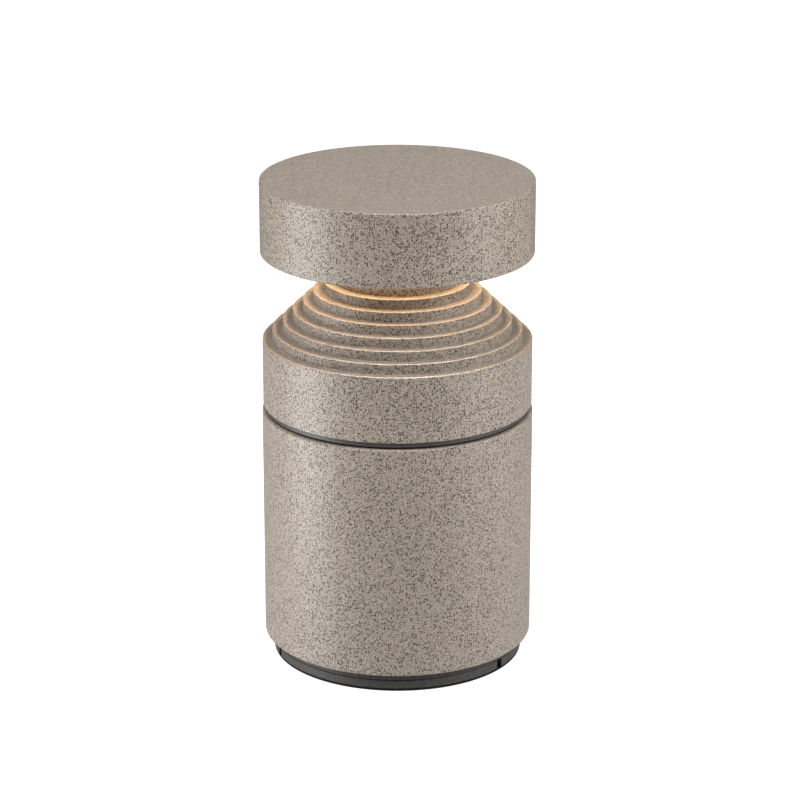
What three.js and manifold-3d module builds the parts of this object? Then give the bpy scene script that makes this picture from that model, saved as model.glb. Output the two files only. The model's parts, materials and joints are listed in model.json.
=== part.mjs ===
// Low garden path light with a stone-effect coating: a ground plate, a drum pedestal, and a head made of
// a stepped cone under a drum cap. Both the pedestal and the head twist off on three-lug bayonets.
// Millimetres, +Z up. The origin is the middle of the underside. The front is -Y.
// Directions around the axis are in degrees from the front, towards +X.

import * as THREE from 'three';
import { mergeVertices } from 'three/addons/utils/BufferGeometryUtils.js';
import Module from 'manifold-3d';

const wasm = await Module();
wasm.setup();

// ---------------------------------------------------------------- driving dimensions
const HEIGHT = 300;
const PEDESTAL_R = 82.6;
const SKIRT_R = 82; // head skirt and first step of the cone
const CAP_R = 82.8;
const BASE_R = 77.3; // ground plate rim and foot ring
const WALL = 3;
const SKIRT_INNER = SKIRT_R - WALL;
const GAP = 0.3; // between two pieces that touch
const TURN_GAP = 0.8; // between two pieces that turn past each other

const GASKET_TOP = 1.4;
const RIM_TOP = 7;
const PEDESTAL_BOTTOM = 11.8;
const PEDESTAL_TOP = 156.4;
const HEAD_BOTTOM = 160.4;
const RING_TOP = 201; // first edge of the stepped cone
const CAP_BOTTOM = 255.2;
const NECK_TOP = 259;

const STEPS = 9;
const STEP_RISE = 6.05;
const STEP_RUN = 6.2;

const LUGS = 3;
const LUG_SPAN = 24; // degrees that one bayonet lug covers
const TWIST = 30; // degrees from locked to free
const STOP_PLAY = 1.5; // degrees left between a lug and its stop
const STOP_SPAN = 2.5;

const FINE = 36; // facets of the large shells
const MEDIUM = 24;
const SMALL = 12;
const GLAND_FACETS = 16;

// ---------------------------------------------------------------- materials
function finish(color, roughness, metalness) {
  return new THREE.MeshStandardMaterial({ color, roughness, metalness });
}
const stoneCoat = finish(0xb2a89d, 0.85, 0.1);
const darkCoat = finish(0x464645, 0.6, 0.3);
const rubber = finish(0x18181a, 0.9, 0);
const castAluminium = finish(0xb9bcc0, 0.45, 0.9);
const steel = finish(0xc4c6c8, 0.35, 1);
const brass = finish(0xb89a5a, 0.35, 1);
const blackPlastic = finish(0x1d1e20, 0.55, 0);
const whitePlastic = finish(0xeceae4, 0.5, 0);
const boardWhite = finish(0xf1efe6, 0.4, 0);
const frosted = finish(0xfff1da, 0.35, 0);
const cableSheath = finish(0x2a2a2c, 0.7, 0);

// ---------------------------------------------------------------- helpers
const radians = THREE.MathUtils.degToRad;

// Point at radius r in direction deg.
function at(r, deg) {
  return [r * Math.sin(radians(deg)), -r * Math.cos(radians(deg))];
}

function around(count, first = 0) {
  return Array.from({ length: count }, (_, i) => first + (i * 360) / count);
}

// Turned piece from a closed [radius, height] outline, listed up its outside and down its inside.
function turned(outline, facets) {
  const points = [...outline, outline[0]].map(([r, z]) => new THREE.Vector2(r, z));
  const onAxis = outline[0][0] === 0;
  const profile = onAxis ? points.slice(0, -1) : points;
  return new THREE.LatheGeometry(profile, facets).rotateX(Math.PI / 2);
}

function ring(inner, outer, low, high, facets) {
  return turned([[inner, low], [outer, low], [outer, high], [inner, high]], facets);
}

function disc(radius, low, high, facets) {
  return new THREE.CylinderGeometry(radius, radius, high - low, facets)
    .rotateX(Math.PI / 2)
    .translate(0, 0, (low + high) / 2);
}

function discAt([x, y], radius, low, high, facets = SMALL) {
  return disc(radius, low, high, facets).translate(x, y, 0);
}

function block(x0, x1, y0, y1, z0, z1) {
  return new THREE.BoxGeometry(x1 - x0, y1 - y0, z1 - z0)
    .translate((x0 + x1) / 2, (y0 + y1) / 2, (z0 + z1) / 2);
}

// Piece of a ring from direction `from` to direction `to`.
function sector(inner, outer, low, high, from, to) {
  const start = radians(from - 90);
  const end = radians(to - 90);
  const shape = new THREE.Shape();
  shape.absarc(0, 0, outer, start, end, false);
  shape.absarc(0, 0, inner, end, start, true);
  return new THREE.ExtrudeGeometry(shape, {
    depth: high - low,
    bevelEnabled: false,
    curveSegments: 2,
  }).translate(0, 0, low);
}

function hexNut(acrossFlats, bore, low, high) {
  const corner = acrossFlats / Math.sqrt(3);
  return cut(disc(corner, low, high, 6), disc(bore, low - 1, high + 1, SMALL));
}

// Round lead along a smooth curve.
function lead(points, radius, steps) {
  const path = new THREE.CatmullRomCurve3(points.map((p) => new THREE.Vector3(...p)));
  const section = new THREE.Shape();
  section.absarc(0, 0, radius, 0, 2 * Math.PI, false);
  return new THREE.ExtrudeGeometry(section, {
    steps,
    extrudePath: path,
    bevelEnabled: false,
    curveSegments: 4,
  });
}

function toSolid(geometry) {
  if (geometry instanceof wasm.Manifold) return geometry;
  const bare = geometry.clone();
  bare.deleteAttribute('normal');
  bare.deleteAttribute('uv');
  const merged = mergeVertices(bare);
  return new wasm.Manifold(new wasm.Mesh({
    numProp: 3,
    vertProperties: new Float32Array(merged.attributes.position.array),
    triVerts: new Uint32Array(merged.index.array),
  }));
}

function toGeometry(solid) {
  const mesh = solid.getMesh();
  const geometry = new THREE.BufferGeometry();
  geometry.setAttribute('position', new THREE.BufferAttribute(mesh.vertProperties, 3));
  geometry.setIndex(new THREE.BufferAttribute(mesh.triVerts, 1));
  return geometry;
}

function join(first, ...others) {
  return others.reduce((solid, other) => solid.add(toSolid(other)), toSolid(first));
}

function cut(first, ...others) {
  return others.reduce((solid, other) => solid.subtract(toSolid(other)), toSolid(first));
}

const light = new THREE.Group();

function add(name, shape, material) {
  const geometry = shape instanceof wasm.Manifold ? toGeometry(shape) : shape;
  const mesh = new THREE.Mesh(geometry, material);
  mesh.name = name;
  light.add(mesh);
  return mesh;
}

// Socket-head screw along Z: the head's seat is at z = 0, the shank goes up and the head down.
function screwShape(shankR, shankLength, headR, headHeight) {
  const socketDepth = headHeight * 0.6;
  const body = turned([
    [0, -headHeight], [headR, -headHeight], [headR, 0], [shankR, 0], [shankR, shankLength],
    [0, shankLength],
  ], SMALL);
  return cut(body, disc(headR * 0.5, -headHeight - 1, -headHeight + socketDepth, 6));
}

// Screws in a ring at radius r, driven upwards from seatZ, or downwards when `down` is set.
function addScrews(prefix, shape, r, directions, seatZ, down = false) {
  directions.forEach((deg, i) => {
    const screw = add(`${prefix}_${i + 1}`, shape, steel);
    screw.position.set(...at(r, deg), seatZ);
    screw.rotation.x = down ? Math.PI : 0;
  });
}

// The two stops that limit a lug centred on direction deg, as ring pieces.
function stops(inner, outer, low, high, deg) {
  const locked = deg - LUG_SPAN / 2 - STOP_PLAY;
  const free = deg + LUG_SPAN / 2 + TWIST + STOP_PLAY;
  return [
    sector(inner, outer, low, high, locked - STOP_SPAN, locked),
    sector(inner, outer, low, high, free, free + STOP_SPAN),
  ];
}

function lug(inner, outer, low, high, deg) {
  return sector(inner, outer, low, high, deg - LUG_SPAN / 2, deg + LUG_SPAN / 2);
}

// ---------------------------------------------------------------- ground base
const GASKET_INNER = 58;
const GASKET_INSET = 0.4; // how far each seal stays inside the edge above it
const PLATE_BOTTOM = GASKET_TOP + GAP;
const PLATE_FLOOR = 5;
const COLLAR_R = 64; // outside of the plate's bayonet collar
const COLLAR_WALL = 3.5;
const COLLAR_TOP = 14.5;
const BASE_LUG_REACH = 4;
const BASE_LUG_LOW = 10.9;
const BASE_STOP_REACH = 5.3;
const BASE_STOP_DROP = 0.4; // the stops end this far below the lugs
const BASE_LUGS = around(LUGS, 20);
const ANCHOR_R = 42;
const ANCHOR_HOLE_R = 4;
const SLOT_DIRECTIONS = [-70, 54, 172];
const SLOT_WIDTH = 4.6;
const SLOT_DEPTH = 8;
const GLAND_THREAD_R = 10;
const GLAND_BORE_R = 4.6;
const GLAND_BOTTOM = 2;
const GLAND_HEX_R = 13.5; // corner radius of the gland's hexagon
const GLAND_HEX_TOP = 10;
const GLAND_COLLAR_R = 9; // collar that the nut screws onto
const GLAND_COLLAR_TOP = 17;
const GLAND_SEAL_TOP = 21;
const GLAND_NUT_HEX_R = 12.6;
const GLAND_NUT_HEX_TOP = 20;
const GLAND_NUT_DOME_R = 10.4;
const GLAND_NUT_TOP = 24.5;

function baseGasket() {
  return ring(GASKET_INNER, BASE_R - GASKET_INSET, 0, GASKET_TOP, FINE);
}

function groundPlate() {
  const edge = 0.4; // small chamfer round the rim
  const collarInner = COLLAR_R - COLLAR_WALL;
  const plate = turned([
    [GLAND_THREAD_R + GAP, PLATE_BOTTOM], [BASE_R - edge, PLATE_BOTTOM], [BASE_R, PLATE_BOTTOM + edge],
    [BASE_R, RIM_TOP - edge], [BASE_R - edge, RIM_TOP], [COLLAR_R, RIM_TOP], [COLLAR_R, COLLAR_TOP],
    [collarInner, COLLAR_TOP], [collarInner, PLATE_FLOOR], [GLAND_THREAD_R + GAP, PLATE_FLOOR],
  ], FINE);
  const root = COLLAR_R - 1; // lugs and stops start inside the collar's wall
  const lugs = BASE_LUGS.map((deg) => lug(root, COLLAR_R + BASE_LUG_REACH, BASE_LUG_LOW, COLLAR_TOP, deg));
  const ends = BASE_LUGS.flatMap((deg) => (
    stops(root, COLLAR_R + BASE_STOP_REACH, RIM_TOP - 1, BASE_LUG_LOW - BASE_STOP_DROP, deg)));
  const anchors = around(3, 60).map((deg) => discAt(at(ANCHOR_R, deg), ANCHOR_HOLE_R, 0, 10));
  const slots = SLOT_DIRECTIONS.map((deg) => (
    block(-SLOT_WIDTH / 2, SLOT_WIDTH / 2, -BASE_R - 1, -BASE_R + SLOT_DEPTH, 0, RIM_TOP + 1)
      .rotateZ(radians(deg))));
  return cut(join(plate, ...lugs, ...ends), ...anchors, ...slots);
}

function glandBody() {
  const barrelR = GLAND_THREAD_R - 0.2;
  const shell = join(
    disc(barrelR, GLAND_BOTTOM, PLATE_FLOOR + 1, GLAND_FACETS),
    disc(GLAND_HEX_R, PLATE_FLOOR + GAP, GLAND_HEX_TOP, 6),
    disc(GLAND_COLLAR_R, GLAND_HEX_TOP - 1, GLAND_COLLAR_TOP, GLAND_FACETS),
  );
  return cut(shell, disc(GLAND_BORE_R, 0, GLAND_COLLAR_TOP + 1, GLAND_FACETS));
}

function glandSeal() {
  const outer = 8.4;
  return ring(GLAND_BORE_R, outer, GLAND_COLLAR_TOP + GAP, GLAND_SEAL_TOP, GLAND_FACETS);
}

function glandNut() {
  const low = GLAND_HEX_TOP + GAP;
  const shoulder = GLAND_NUT_TOP - 2.5; // where the dome starts to close in
  const dome = turned([
    [0, GLAND_NUT_HEX_TOP - 1], [GLAND_NUT_DOME_R, GLAND_NUT_HEX_TOP - 1], [GLAND_NUT_DOME_R, shoulder],
    [GLAND_NUT_DOME_R - 2.4, GLAND_NUT_TOP], [0, GLAND_NUT_TOP],
  ], GLAND_FACETS);
  return cut(
    join(disc(GLAND_NUT_HEX_R, low, GLAND_NUT_HEX_TOP, 6), dome),
    disc(GLAND_COLLAR_R + GAP, low - 1, GLAND_SEAL_TOP + GAP, GLAND_FACETS),
    disc(GLAND_BORE_R + 0.2, GLAND_SEAL_TOP - 1, GLAND_NUT_TOP + 1, GLAND_FACETS),
  );
}

add('base_gasket', baseGasket(), rubber);
add('ground_plate', groundPlate(), darkCoat);
add('gland_body', glandBody(), blackPlastic);
add('gland_seal', glandSeal(), rubber);
add('gland_nut', glandNut(), blackPlastic);

// ---------------------------------------------------------------- pedestal
const FOOT_BOTTOM = RIM_TOP + GAP;
const FOOT_TOP = PEDESTAL_BOTTOM - GAP;
const FOOT_INNER = 70;
const FOOT_LUG_TOP = BASE_LUG_LOW - 0.5;
const FOOT_SCREW_R = 73.7;
const FOOT_SCREWS = around(3, -10);
const FOOT_SCREW_SEAT = 9.8;
const FOOT_SINK_R = 3.1; // counterbore for the foot screw's head
const PEDESTAL_INNER = PEDESTAL_R - WALL;
const BOSS_R = 4.2;
const BOSS_TOP = 28;
const FLANGE_INNER = 57;
const FLANGE_BOTTOM = 151.9;
const BRACKET_HOLE_TOP = 155.2;
const SEAM_SCREW_R = 62.5;
const SEAM_SCREWS = around(3, 30);
const SEAM_RING_BOTTOM = 157.6;
const SEAM_RING_TOP = HEAD_BOTTOM - GAP;
const SEAM_R = 80.8;
const HEAD_COLLAR_R = 72;
const HEAD_COLLAR_TOP = 171.5;
const HEAD_LUG_REACH = 3.6;
const HEAD_LUG_LOW = 168;
const HEAD_STOP_DROP = 0.6; // the stops and the head's own lugs end this far below
const HEAD_LUGS = around(LUGS, 0);
const M3_HOLE = 1.8;
const M4_HOLE = 2.3;

function footRing() {
  const band = ring(FOOT_INNER, BASE_R, FOOT_BOTTOM, FOOT_TOP, FINE);
  const lugs = BASE_LUGS.map((deg) => (
    lug(COLLAR_R + TURN_GAP, FOOT_INNER + 1, FOOT_BOTTOM, FOOT_LUG_TOP, deg)));
  const holes = FOOT_SCREWS.flatMap((deg) => [
    discAt(at(FOOT_SCREW_R, deg), M3_HOLE, 0, FOOT_TOP + 1),
    discAt(at(FOOT_SCREW_R, deg), FOOT_SINK_R, 0, FOOT_SCREW_SEAT + GAP),
  ]);
  return cut(join(band, ...lugs), ...holes);
}

function pedestalShell() {
  const edge = 1.2;
  const drum = turned([
    [PEDESTAL_INNER, PEDESTAL_BOTTOM], [PEDESTAL_R - edge, PEDESTAL_BOTTOM],
    [PEDESTAL_R, PEDESTAL_BOTTOM + edge], [PEDESTAL_R, PEDESTAL_TOP - edge],
    [PEDESTAL_R - edge, PEDESTAL_TOP], [FLANGE_INNER, PEDESTAL_TOP],
    [FLANGE_INNER, FLANGE_BOTTOM], [PEDESTAL_INNER, FLANGE_BOTTOM],
  ], FINE);
  const bosses = FOOT_SCREWS.map((deg) => join(
    discAt(at(FOOT_SCREW_R, deg), BOSS_R, PEDESTAL_BOTTOM, BOSS_TOP),
    block(-BOSS_R, BOSS_R, -PEDESTAL_INNER - 1, -FOOT_SCREW_R, PEDESTAL_BOTTOM, BOSS_TOP)
      .rotateZ(radians(deg)),
  ));
  const footHoles = FOOT_SCREWS.map((deg) => discAt(at(FOOT_SCREW_R, deg), M3_HOLE, 0, BOSS_TOP - WALL));
  const seamHoles = SEAM_SCREWS.map((deg) => (
    discAt(at(SEAM_SCREW_R, deg), M4_HOLE, FLANGE_BOTTOM + 1, PEDESTAL_TOP + 1)));
  const bracketHoles = BRACKET_SCREWS.map((place) => (
    discAt(place, M4_HOLE, FLANGE_BOTTOM - 1, BRACKET_HOLE_TOP)));
  return cut(join(drum, ...bosses), ...footHoles, ...seamHoles, ...bracketHoles);
}

function seamGasket() {
  const inner = 70;
  return ring(inner, SEAM_R - GASKET_INSET, PEDESTAL_TOP + GAP, SEAM_RING_BOTTOM - GAP, FINE);
}

function seamRing() {
  const collarInner = HEAD_COLLAR_R - COLLAR_WALL;
  const body = turned([
    [FLANGE_INNER, SEAM_RING_BOTTOM], [SEAM_R, SEAM_RING_BOTTOM], [SEAM_R, SEAM_RING_TOP],
    [HEAD_COLLAR_R, SEAM_RING_TOP], [HEAD_COLLAR_R, HEAD_COLLAR_TOP], [collarInner, HEAD_COLLAR_TOP],
    [collarInner, SEAM_RING_TOP], [FLANGE_INNER, SEAM_RING_TOP],
  ], FINE);
  const root = HEAD_COLLAR_R - 1;
  const reach = HEAD_COLLAR_R + HEAD_LUG_REACH;
  const lugs = HEAD_LUGS.map((deg) => lug(root, reach, HEAD_LUG_LOW, HEAD_COLLAR_TOP, deg));
  const ends = HEAD_LUGS.flatMap((deg) => (
    stops(root, reach, SEAM_RING_TOP - 1, HEAD_LUG_LOW - HEAD_STOP_DROP, deg)));
  const holes = SEAM_SCREWS.map((deg) => (
    discAt(at(SEAM_SCREW_R, deg), M4_HOLE, SEAM_RING_BOTTOM - 1, SEAM_RING_TOP + 1)));
  return cut(join(body, ...lugs, ...ends), ...holes);
}

function headSeal() {
  const outer = SKIRT_INNER - 0.7;
  const top = HEAD_BOTTOM + 2.2;
  return ring(HEAD_COLLAR_R + HEAD_LUG_REACH + TURN_GAP, outer, SEAM_RING_TOP + GAP, top, FINE);
}

// ---- driver and wiring
const BRACKET_Y = 8; // front face of the bracket sheet
const SHEET = 2;
const TAB_X = 65;
const TAB_WIDTH = 14;
const TAB_END = 26;
const BRACKET_SCREWS = [[-TAB_X, 17], [TAB_X, 17]];
const TAB_BOTTOM = 149.1;
const DRIVER_W = 38;
const DRIVER_DEPTH = 25;
const DRIVER_LOW = 58;
const DRIVER_HIGH = 130;
const DRIVER_EAR = 8;
const DRIVER_BACK = BRACKET_Y - GAP;
const TERMINAL_LOW = 34;
const TERMINAL_HIGH = 46;

function driverBracket() {
  const outline = new THREE.Shape();
  const corners = [[-25, 30], [25, 30], [25, 136], [72, 140], [72, TAB_BOTTOM + 1], [-72, TAB_BOTTOM + 1],
    [-72, 140], [-25, 136]];
  outline.setFromPoints(corners.map(([x, z]) => new THREE.Vector2(x, z)));
  const sheet = new THREE.ExtrudeGeometry(outline, { depth: SHEET, bevelEnabled: false })
    .rotateX(Math.PI / 2)
    .translate(0, BRACKET_Y + SHEET, 0);
  const tabs = [-TAB_X, TAB_X].map((x) => (
    block(x - TAB_WIDTH / 2, x + TAB_WIDTH / 2, BRACKET_Y, TAB_END, TAB_BOTTOM, FLANGE_BOTTOM - GAP)));
  const tabHoles = BRACKET_SCREWS.map((place) => (
    discAt(place, M4_HOLE, TAB_BOTTOM - 1, FLANGE_BOTTOM)));
  const driverHoles = DRIVER_SCREW_Z.map((z) => (
    new THREE.CylinderGeometry(M3_HOLE, M3_HOLE, 20, SMALL).translate(0, BRACKET_Y, z)));
  return cut(join(sheet, ...tabs), ...tabHoles, ...driverHoles);
}

const DRIVER_SCREW_Z = [DRIVER_LOW - DRIVER_EAR / 2, DRIVER_HIGH + DRIVER_EAR / 2];
const EAR_THICKNESS = 3;

function ledDriver() {
  const half = DRIVER_W / 2;
  const front = DRIVER_BACK - DRIVER_DEPTH;
  const corner = 3;
  const section = new THREE.Shape();
  section.moveTo(-half, DRIVER_BACK);
  section.lineTo(-half, front + corner);
  section.absarc(-half + corner, front + corner, corner, Math.PI, 1.5 * Math.PI, false);
  section.absarc(half - corner, front + corner, corner, 1.5 * Math.PI, 2 * Math.PI, false);
  section.lineTo(half, DRIVER_BACK);
  const body = new THREE.ExtrudeGeometry(section, {
    depth: DRIVER_HIGH - DRIVER_LOW,
    bevelEnabled: false,
    curveSegments: 4,
  }).translate(0, 0, DRIVER_LOW);
  const ears = block(-half, half, DRIVER_BACK - EAR_THICKNESS, DRIVER_BACK,
    DRIVER_LOW - DRIVER_EAR, DRIVER_HIGH + DRIVER_EAR);
  const holes = DRIVER_SCREW_Z.map((z) => (
    new THREE.CylinderGeometry(M3_HOLE, M3_HOLE, 60, SMALL).translate(0, 0, z)));
  return cut(join(body, ears), ...holes);
}

function terminalBlock() {
  const back = BRACKET_Y - GAP;
  const front = back - 16;
  const middle = (TERMINAL_LOW + TERMINAL_HIGH) / 2;
  const body = block(-18, 18, front, back, TERMINAL_LOW, TERMINAL_HIGH);
  const poles = [-12, 0, 12];
  const wellR = 2.6;
  const wireR = 2;
  const screwWells = poles.map((x) => (
    new THREE.CylinderGeometry(wellR, wellR, 6, SMALL).translate(x, front, middle)));
  const wireHoles = poles.map((x) => discAt([x, back - 7], wireR, TERMINAL_LOW - 1, TERMINAL_LOW + 5));
  return cut(body, ...screwWells, ...wireHoles);
}

function mainsLead() {
  return lead([[0, -4, TERMINAL_HIGH + GAP], [0, -4, DRIVER_LOW - GAP]], MAINS_LEAD_R, 2);
}

const MAINS_LEAD_R = 2.2;
const SOCKET_R = 8.5;
const PLUG_R = 7.4;
const SOCKET_LOW = 168;
const SOCKET_HIGH = 190;
const PLUG_HIGH = 212;

function outputLead() {
  return lead([[0, -5, DRIVER_HIGH + GAP], [0, -4.6, 138], [0, -1.5, 150], [0, 0, 160],
    [0, 0, SOCKET_LOW - GAP]], MAINS_LEAD_R, 12);
}

function leadSocket() {
  return turned([[0, SOCKET_LOW], [4, SOCKET_LOW], [6.5, SOCKET_LOW + 6], [SOCKET_R, SOCKET_LOW + 7],
    [SOCKET_R, SOCKET_HIGH], [0, SOCKET_HIGH]], SMALL);
}

add('foot_ring', footRing(), darkCoat);
addScrews('foot_screw', screwShape(1.5, 14, 2.7, 1.9), FOOT_SCREW_R, FOOT_SCREWS, FOOT_SCREW_SEAT);
add('pedestal_shell', pedestalShell(), stoneCoat);
add('seam_gasket', seamGasket(), rubber);
add('seam_ring', seamRing(), darkCoat);
addScrews('seam_screw', screwShape(2, 7.2, 3.5, 2.4), SEAM_SCREW_R, SEAM_SCREWS, SEAM_RING_TOP + GAP, true);
add('head_seal', headSeal(), rubber);
add('driver_bracket', driverBracket(), steel);
BRACKET_SCREWS.forEach(([x, y], i) => {
  const screw = add(`bracket_screw_${i + 1}`, screwShape(2, 5.5, 3.5, 2.4), steel);
  screw.position.set(x, y, TAB_BOTTOM - GAP);
});
add('led_driver', ledDriver(), whitePlastic);
DRIVER_SCREW_Z.forEach((z, i) => {
  const screw = add(`driver_screw_${i + 1}`, screwShape(1.5, 7, 2.7, 1.9), steel);
  screw.position.set(0, DRIVER_BACK - EAR_THICKNESS - GAP, z);
  screw.rotation.x = -Math.PI / 2;
});
add('terminal_block', terminalBlock(), whitePlastic);
add('mains_lead', mainsLead(), cableSheath);
add('output_lead', outputLead(), cableSheath);
add('lead_socket', leadSocket(), blackPlastic);

// ---------------------------------------------------------------- head
const NECK_BORE = 8.5;
const TUBE_R = 8;
const TUBE_BORE = 5.5;
const INNER_CEILING = 250;
const TUBE_LOW = 242;
const TUBE_HIGH = 285;
const TUBE_FACETS = 16;
const NUT_ACROSS_FLATS = 22;
const NUT_HEIGHT = 6;
const NECK_R = SKIRT_R - STEPS * STEP_RUN;
const CAP_INNER = CAP_R - WALL;
const CAP_ROOF = HEIGHT - WALL;
const UNDERPLATE_LOW = NECK_TOP + GAP;
const UNDERPLATE_HIGH = UNDERPLATE_LOW + WALL;
const UNDERPLATE_SCREW_R = 70;
const UNDERPLATE_SCREWS = around(3, 60);
const CAP_BOSS_R = 4.5;
const WINDOW_OUTER = 38;
const WINDOW_INNER = 28.2;
const DIFFUSER_LOW = 258;
const DIFFUSER_TOP = 266;
const FLANGE_LOW = 263.7;
const FLANGE_R = 44; // outside of the window's flange
const GASKET_R = 43.6;
const REFLECTOR_R = 43.5;
const BOARD_INNER = 27;
const BOARD_R = 44;
const BOARD_LOW = 270;
const BOARD_HIGH = 271.6;
const SINK_LOW = BOARD_HIGH + GAP;
const SINK_HIGH = 277;
const FIN_TOP = 284;
const SINK_R = 60;
const SINK_SCREW_R = 52;
const SINK_SCREWS = around(3, 0);
const SINK_FINS = 12;
const FIN_START = 24;
const FIN_END = 46;
const LED_COUNT = 12;
const LED_R = 33;
const LED_SIZE = 3.2;
const LEAD_HOLE_R = 3.2;
const LEAD_X = 34; // where the LED lead comes down through the heat sink

// The cone's outside: each step goes in by STEP_RUN and up by STEP_RISE.
function stepOutline() {
  const outline = [];
  for (let i = 0; i < STEPS; i += 1) {
    const z = RING_TOP + i * STEP_RISE;
    outline.push([SKIRT_R - i * STEP_RUN, z], [SKIRT_R - (i + 1) * STEP_RUN, z]);
  }
  return outline;
}

function steppedHousing() {
  const slope = STEP_RUN / STEP_RISE;
  const wallRun = WALL * Math.hypot(1, slope); // the wall's thickness, measured along the radius
  const innerAt = (z) => SKIRT_R - STEP_RUN - wallRun - (z - RING_TOP) * slope;
  const coneFoot = RING_TOP + (SKIRT_R - STEP_RUN - wallRun - SKIRT_INNER) / slope;
  const body = turned([
    [SKIRT_INNER, HEAD_BOTTOM], [SKIRT_R, HEAD_BOTTOM], ...stepOutline(), [NECK_R, NECK_TOP],
    [NECK_BORE, NECK_TOP], [NECK_BORE, INNER_CEILING], [innerAt(INNER_CEILING), INNER_CEILING],
    [SKIRT_INNER, coneFoot],
  ], FINE);
  const lugTop = HEAD_LUG_LOW - HEAD_STOP_DROP;
  const lugLow = lugTop - 4.2;
  const lugs = HEAD_LUGS.map((deg) => (
    lug(HEAD_COLLAR_R + TURN_GAP, SKIRT_INNER + 1, lugLow, lugTop, deg)));
  return join(body, ...lugs);
}

function capShell() {
  const edge = 0.8;
  const drum = turned([
    [CAP_INNER, CAP_BOTTOM], [CAP_R - edge, CAP_BOTTOM], [CAP_R, CAP_BOTTOM + edge],
    [CAP_R, HEIGHT - edge], [CAP_R - edge, HEIGHT], [0, HEIGHT], [0, CAP_ROOF], [CAP_INNER, CAP_ROOF],
  ], FINE);
  const plateBosses = UNDERPLATE_SCREWS.map((deg) => cut(
    discAt(at(UNDERPLATE_SCREW_R, deg), CAP_BOSS_R, UNDERPLATE_HIGH + GAP, CAP_ROOF + 1),
    discAt(at(UNDERPLATE_SCREW_R, deg), M4_HOLE, UNDERPLATE_LOW, 275),
  ));
  const sinkBosses = SINK_SCREWS.map((deg) => cut(
    discAt(at(SINK_SCREW_R, deg), CAP_BOSS_R, SINK_HIGH + GAP, CAP_ROOF + 1),
    discAt(at(SINK_SCREW_R, deg), M4_HOLE, SINK_LOW, 290),
  ));
  return join(drum, ...plateBosses, ...sinkBosses);
}

function capUnderplate() {
  const plate = ring(WINDOW_OUTER + 0.4, CAP_INNER - 0.5, UNDERPLATE_LOW, UNDERPLATE_HIGH, FINE);
  const holes = UNDERPLATE_SCREWS.map((deg) => (
    discAt(at(UNDERPLATE_SCREW_R, deg), M4_HOLE, UNDERPLATE_LOW - 1, UNDERPLATE_HIGH + 1)));
  return cut(plate, ...holes);
}

function diffuserRing() {
  const flangeInner = NECK_R + 0.4;
  return turned([
    [WINDOW_INNER, DIFFUSER_LOW], [WINDOW_OUTER, DIFFUSER_LOW], [WINDOW_OUTER, FLANGE_LOW],
    [FLANGE_R, FLANGE_LOW], [FLANGE_R, DIFFUSER_TOP], [flangeInner, DIFFUSER_TOP],
    [flangeInner, FLANGE_LOW], [WINDOW_INNER, FLANGE_LOW],
  ], MEDIUM);
}

function diffuserGasket() {
  return ring(WINDOW_OUTER + 1, GASKET_R, UNDERPLATE_HIGH + GAP, FLANGE_LOW - GAP, MEDIUM);
}

function reflectorRing() {
  const low = DIFFUSER_TOP + GAP;
  const high = BOARD_LOW - GAP;
  return turned([[40, low], [REFLECTOR_R, low], [REFLECTOR_R, high], [38.5, high]], MEDIUM);
}

function ledBoard() {
  const board = ring(BOARD_INNER, BOARD_R, BOARD_LOW, BOARD_HIGH, MEDIUM);
  const half = LED_SIZE / 2;
  const chips = around(LED_COUNT, 15).map((deg) => (
    block(-half, half, -LED_R - half, -LED_R + half, BOARD_LOW - 0.8, BOARD_LOW + 0.5)
      .rotateZ(radians(deg))));
  return join(board, ...chips);
}

function hubSpacer() {
  return ring(NECK_BORE, NECK_R, NECK_TOP + GAP, SINK_LOW - GAP, MEDIUM);
}

function heatsink() {
  const plate = ring(NECK_BORE, SINK_R, SINK_LOW, SINK_HIGH, MEDIUM);
  const fins = around(SINK_FINS, 15).map((deg) => (
    block(-1, 1, -FIN_END, -FIN_START, SINK_HIGH - 1, FIN_TOP).rotateZ(radians(deg))));
  const holes = SINK_SCREWS.map((deg) => (
    discAt(at(SINK_SCREW_R, deg), M4_HOLE, SINK_LOW - 1, SINK_HIGH + 1)));
  return cut(join(plate, ...fins), ...holes, discAt([LEAD_X, 0], LEAD_HOLE_R, SINK_LOW - 1, SINK_HIGH + 1));
}

function neckNut(low) {
  return hexNut(NUT_ACROSS_FLATS, TUBE_R + GAP, low, low + NUT_HEIGHT);
}

function neckTube() {
  return ring(TUBE_BORE, TUBE_R, TUBE_LOW, TUBE_HIGH, TUBE_FACETS);
}

function leadPlug() {
  return turned([[0, SOCKET_HIGH + GAP], [PLUG_R, SOCKET_HIGH + GAP], [PLUG_R, PLUG_HIGH - 9],
    [6, PLUG_HIGH - 7], [4, PLUG_HIGH], [0, PLUG_HIGH]], SMALL);
}

function ledLead() {
  return lead([[0, 0, PLUG_HIGH + GAP], [0, 0, 245], [0, 0, 276], [0.8, 0, 284], [7, 0, 289.5],
    [20, 0, 290.5], [LEAD_X - 3, 0, 287], [LEAD_X, 0, 280], [LEAD_X, 0, BOARD_HIGH + 0.7]], 2, 28);
}

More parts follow.
